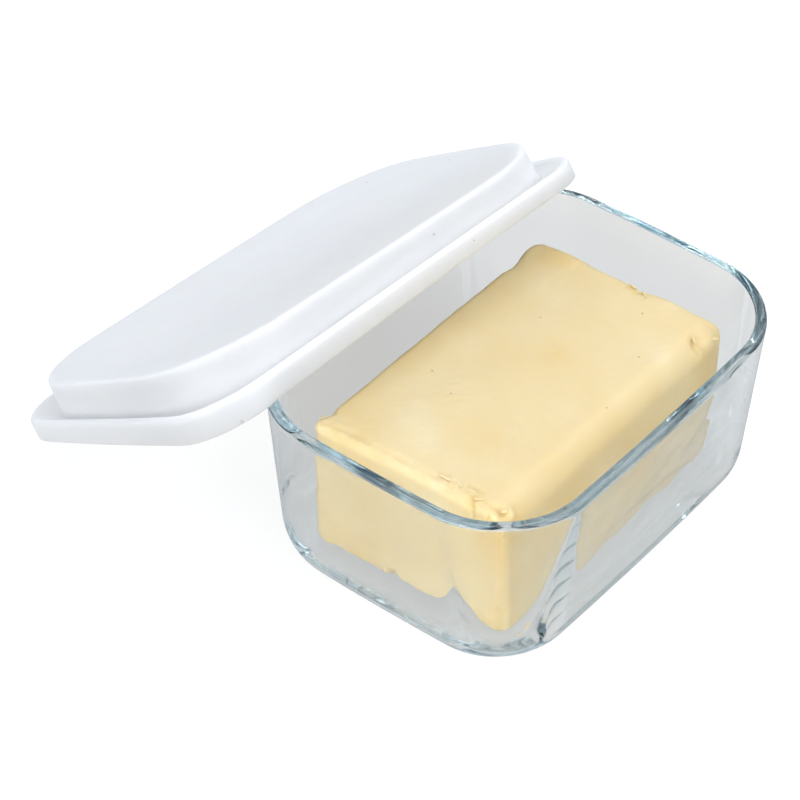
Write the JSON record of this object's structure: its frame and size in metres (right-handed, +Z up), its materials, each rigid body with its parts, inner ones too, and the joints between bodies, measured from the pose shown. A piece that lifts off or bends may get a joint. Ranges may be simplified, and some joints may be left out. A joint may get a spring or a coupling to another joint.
{
  "type": "butter dish",
  "caption": "Deep rounded glass butter dish holding a block of butter, with its shallow plastic lid leaning on the rim, one edge on the table.",
  "frame": {"origin": "centre of the dish's flat foot, on the table", "axes": "+Z up; +Y along the dish's long side; +X across the dish, away from the side where the lid leans"},
  "size_m": [0.1786, 0.1557, 0.0758],
  "materials": {
    "dish_glass": "gloss",
    "lid_plastic": "satin",
    "butter": "satin"
  },
  "bodies": {
    "dish": {"dish": "dish_glass", "butter": "butter"},
    "lid": {"lid": "lid_plastic"}
  },
  "joints": [
    {"name": "lid_lift", "type": "slide", "parent": "dish", "child": "lid", "axis": [0, 0, 1], "range_m": [0, 0.12]}
  ]
}
